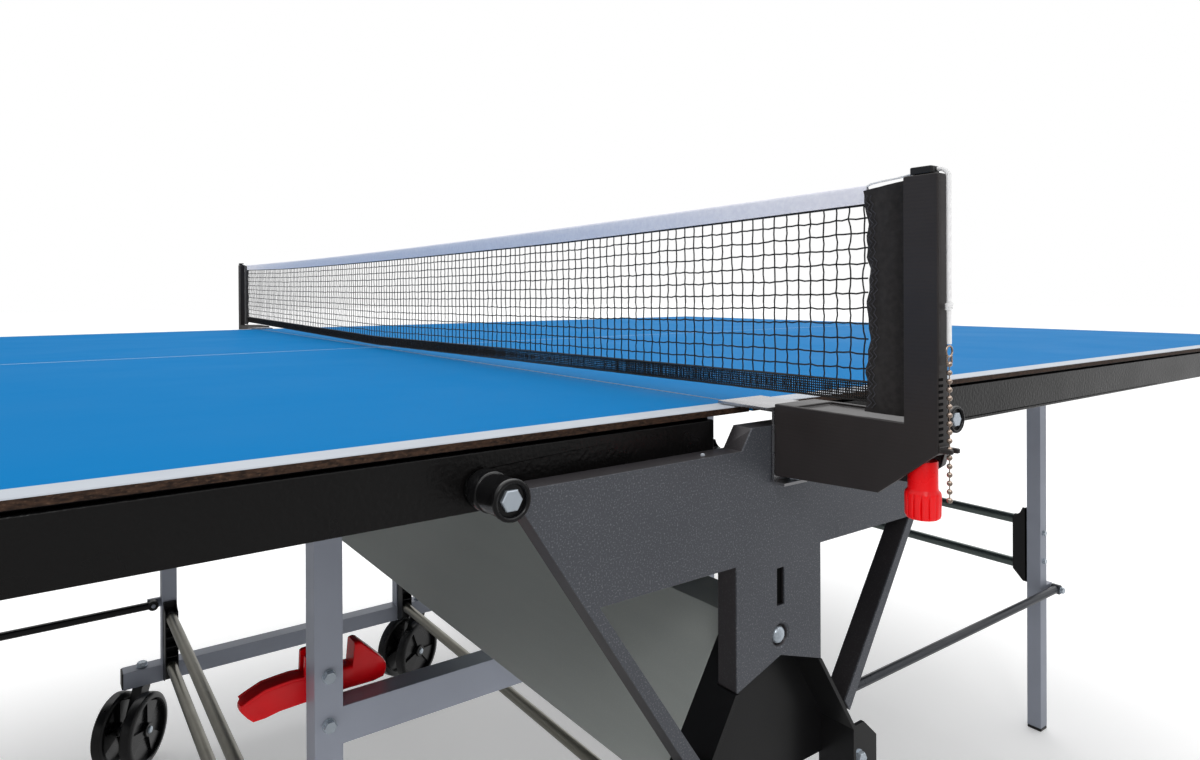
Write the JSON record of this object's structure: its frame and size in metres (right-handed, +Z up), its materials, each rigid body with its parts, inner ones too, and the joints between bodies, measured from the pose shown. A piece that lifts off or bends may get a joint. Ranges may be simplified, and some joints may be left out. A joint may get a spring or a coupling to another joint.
{
  "type": "ping pong table",
  "caption": "Folding table tennis table on castors: two blue halves with hinged legs, link rods, a wheeled steel carriage and a net with clamp posts.",
  "frame": {"origin": "on the floor, centred under the net, with the table open", "axes": "+X along the table's length, +Y across it along the net, +Z up"},
  "size_m": [2.74, 1.8444, 0.9182],
  "materials": {
    "table_blue": "smooth satin laminate with white lines",
    "apron_black": "semi-gloss textured powder coat",
    "plate_grey": "satin metallic powder coat",
    "frame_grey": "smooth semi-gloss powder coat",
    "black_coat": "satin powder coat",
    "galvanised": "dull galvanised sheet",
    "zinc": "bright zinc plate",
    "black_plastic": "moulded nylon",
    "red_plastic": "glossy moulded plastic",
    "wheel_black": "moulded plastic wheel",
    "net_black": "knotted nylon net with white top band",
    "cord_white": "braided cord",
    "chain_nickel": "nickel plated beads"
  },
  "bodies": {
    "carriage": {"hinge_bar_left": "black_coat", "hinge_sleeve_near_left": "black_plastic", "hinge_sleeve_far_left": "black_plastic", "carriage_cross_frame_left": "zinc", "hinge_bar_right": "black_coat", "hinge_sleeve_near_right": "black_plastic", "hinge_sleeve_far_right": "black_plastic", "carriage_cross_frame_right": "zinc", "side_plate_near": "plate_grey", "lower_bracket_near": "black_coat", "side_frame_near": "frame_grey", "net_clip_near": "zinc", "net_bracket_near": "black_plastic", "post_cap_near": "black_plastic", "side_plate_far": "plate_grey", "lower_bracket_far": "black_coat", "side_frame_far": "frame_grey", "net_clip_far": "zinc", "net_bracket_far": "black_plastic", "post_cap_far": "black_plastic", "cross_girder": "galvanised", "net": "net_black", "net_cord": "cord_white", "bead_chain": "chain_nickel"},
    "half_left": {"tabletop_left": "table_blue", "side_apron_near_left": "apron_black", "side_apron_far_left": "apron_black", "end_apron_left": "apron_black", "leg_pivot_bar_left": "zinc"},
    "legs_left": {"leg_near_left": "frame_grey", "leg_foot_near_left": "black_plastic", "leg_far_left": "frame_grey", "leg_foot_far_left": "black_plastic", "leg_cross_frame_left": "zinc"},
    "link_rods_left": {"link_rod_near_left": "black_coat", "link_rod_far_left": "black_coat"},
    "lever_left": {"lock_lever_left": "red_plastic"},
    "castor_near_left": {"castor_fork_near_left": "black_plastic"},
    "wheels_near_left": {"castor_wheels_near_left": "wheel_black"},
    "castor_far_left": {"castor_fork_far_left": "black_plastic"},
    "wheels_far_left": {"castor_wheels_far_left": "wheel_black"},
    "half_right": {"tabletop_right": "table_blue", "side_apron_near_right": "apron_black", "side_apron_far_right": "apron_black", "end_apron_right": "apron_black", "leg_pivot_bar_right": "zinc"},
    "legs_right": {"leg_near_right": "frame_grey", "leg_foot_near_right": "black_plastic", "leg_far_right": "frame_grey", "leg_foot_far_right": "black_plastic", "leg_cross_frame_right": "zinc"},
    "link_rods_right": {"link_rod_near_right": "black_coat", "link_rod_far_right": "black_coat"},
    "lever_right": {"lock_lever_right": "red_plastic"},
    "castor_near_right": {"castor_fork_near_right": "black_plastic"},
    "wheels_near_right": {"castor_wheels_near_right": "wheel_black"},
    "castor_far_right": {"castor_fork_far_right": "black_plastic"},
    "wheels_far_right": {"castor_wheels_far_right": "wheel_black"},
    "knob_near": {"net_knob_near": "red_plastic"},
    "knob_far": {"net_knob_far": "red_plastic"}
  },
  "joints": [
    {"name": "fold_left", "type": "hinge", "parent": "carriage", "child": "half_left", "pos_m": [-0.226, 0, 0.731], "axis": [0, 1, 0], "range_deg": [0, 90]},
    {"name": "legs_left", "type": "hinge", "parent": "half_left", "child": "legs_left", "pos_m": [-1.148, 0, 0.731], "axis": [0, 1, 0], "range_deg": [-90, 0]},
    {"name": "link_rods_left", "type": "hinge", "parent": "carriage", "child": "link_rods_left", "pos_m": [-0.254, 0, 0.268], "axis": [0, 1, 0], "range_deg": [0, 90]},
    {"name": "lever_left", "type": "hinge", "parent": "carriage", "child": "lever_left", "pos_m": [-0.228, -0.4472, 0.51], "axis": [0, 1, 0], "range_deg": [0, 40]},
    {"name": "castor_swivel_near_left", "type": "hinge", "parent": "carriage", "child": "castor_near_left", "pos_m": [-0.272, -0.472, 0.12], "axis": [0, 0, 1], "continuous": true},
    {"name": "wheel_spin_near_left", "type": "hinge", "parent": "castor_near_left", "child": "wheels_near_left", "pos_m": [-0.29367, -0.50075, 0.062], "axis": [0.7986, -0.6018, 0], "continuous": true},
    {"name": "castor_swivel_far_left", "type": "hinge", "parent": "carriage", "child": "castor_far_left", "pos_m": [-0.272, 0.472, 0.12], "axis": [0, 0, 1], "continuous": true},
    {"name": "wheel_spin_far_left", "type": "hinge", "parent": "castor_far_left", "child": "wheels_far_left", "pos_m": [-0.29367, 0.44325, 0.062], "axis": [0.7986, -0.6018, 0], "continuous": true},
    {"name": "fold_right", "type": "hinge", "parent": "carriage", "child": "half_right", "pos_m": [0.226, 0, 0.731], "axis": [0, -1, 0], "range_deg": [0, 90]},
    {"name": "legs_right", "type": "hinge", "parent": "half_right", "child": "legs_right", "pos_m": [1.148, 0, 0.731], "axis": [0, -1, 0], "range_deg": [-90, 0]},
    {"name": "link_rods_right", "type": "hinge", "parent": "carriage", "child": "link_rods_right", "pos_m": [0.254, 0, 0.268], "axis": [0, -1, 0], "range_deg": [0, 90]},
    {"name": "lever_right", "type": "hinge", "parent": "carriage", "child": "lever_right", "pos_m": [0.228, 0.4472, 0.51], "axis": [0, -1, 0], "range_deg": [0, 40]},
    {"name": "castor_swivel_near_right", "type": "hinge", "parent": "carriage", "child": "castor_near_right", "pos_m": [0.272, -0.472, 0.12], "axis": [0, 0, 1], "continuous": true},
    {"name": "wheel_spin_near_right", "type": "hinge", "parent": "castor_near_right", "child": "wheels_near_right", "pos_m": [0.24021, -0.4889, 0.062], "axis": [0.4695, -0.8829, 0], "continuous": true},
    {"name": "castor_swivel_far_right", "type": "hinge", "parent": "carriage", "child": "castor_far_right", "pos_m": [0.272, 0.472, 0.12], "axis": [0, 0, 1], "continuous": true},
    {"name": "wheel_spin_far_right", "type": "hinge", "parent": "castor_far_right", "child": "wheels_far_right", "pos_m": [0.24021, 0.4551, 0.062], "axis": [0.4695, -0.8829, 0], "continuous": true},
    {"name": "knob_turn_near", "type": "hinge", "parent": "carriage", "child": "knob_near", "pos_m": [0.002, -0.898, 0.72], "axis": [0, 0, 1], "continuous": true},
    {"name": "knob_turn_far", "type": "hinge", "parent": "carriage", "child": "knob_far", "pos_m": [0.002, 0.898, 0.72], "axis": [0, 0, 1], "continuous": true}
  ],
  "couplings": [
    {"joint": "legs_left", "follows": "fold_left", "ratio": -1},
    {"joint": "link_rods_left", "follows": "fold_left", "ratio": 1},
    {"joint": "lever_left", "follows": "fold_left", "ratio": 0.4},
    {"joint": "legs_right", "follows": "fold_right", "ratio": -1},
    {"joint": "link_rods_right", "follows": "fold_right", "ratio": 1},
    {"joint": "lever_right", "follows": "fold_right", "ratio": 0.4}
  ]
}
